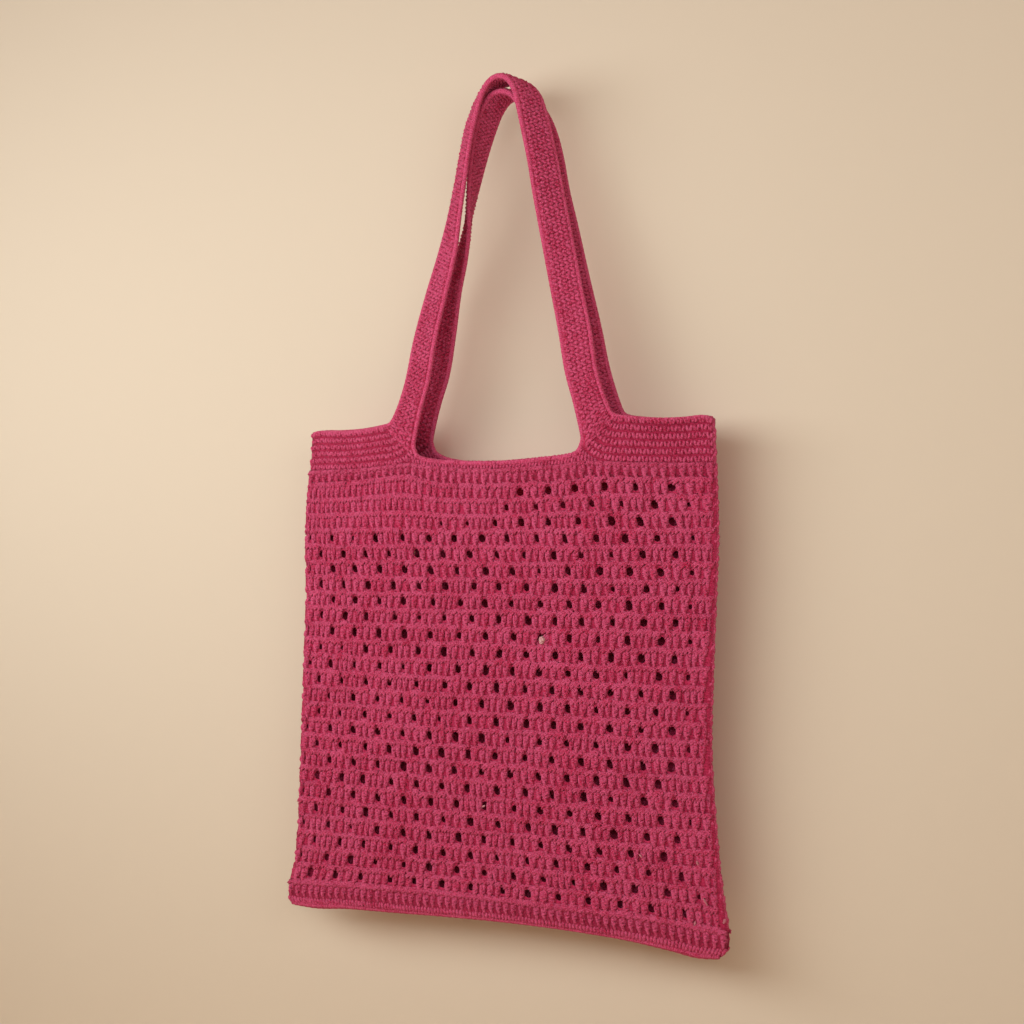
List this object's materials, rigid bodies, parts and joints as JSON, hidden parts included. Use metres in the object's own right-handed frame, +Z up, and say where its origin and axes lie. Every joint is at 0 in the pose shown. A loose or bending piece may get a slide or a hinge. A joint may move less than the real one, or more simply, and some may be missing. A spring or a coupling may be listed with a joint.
{
  "type": "crochet tote bag",
  "caption": "Openwork crochet tote bag hanging empty from two shoulder straps, with close-stitched bands at the top and the bottom.",
  "frame": {"origin": "underside of the back strap's arch, where the bag bears on the hook or rod that it hangs from", "axes": "+Z up, +X to the right as seen from the front, +Y from the front layer to the back layer"},
  "size_m": [0.3809, 0.04, 0.678],
  "materials": {
    "openwork_yarn": "matte raspberry yarn, slightly fuzzy",
    "band_yarn": "matte raspberry yarn, slightly fuzzy",
    "strap_yarn": "matte raspberry yarn, slightly fuzzy"
  },
  "bodies": {
    "root": {"front_panel": "openwork_yarn", "back_panel": "openwork_yarn", "top_band_front": "band_yarn", "top_band_back": "band_yarn", "base_band": "band_yarn", "strap_front": "strap_yarn", "strap_back": "strap_yarn"}
  },
  "joints": []
}
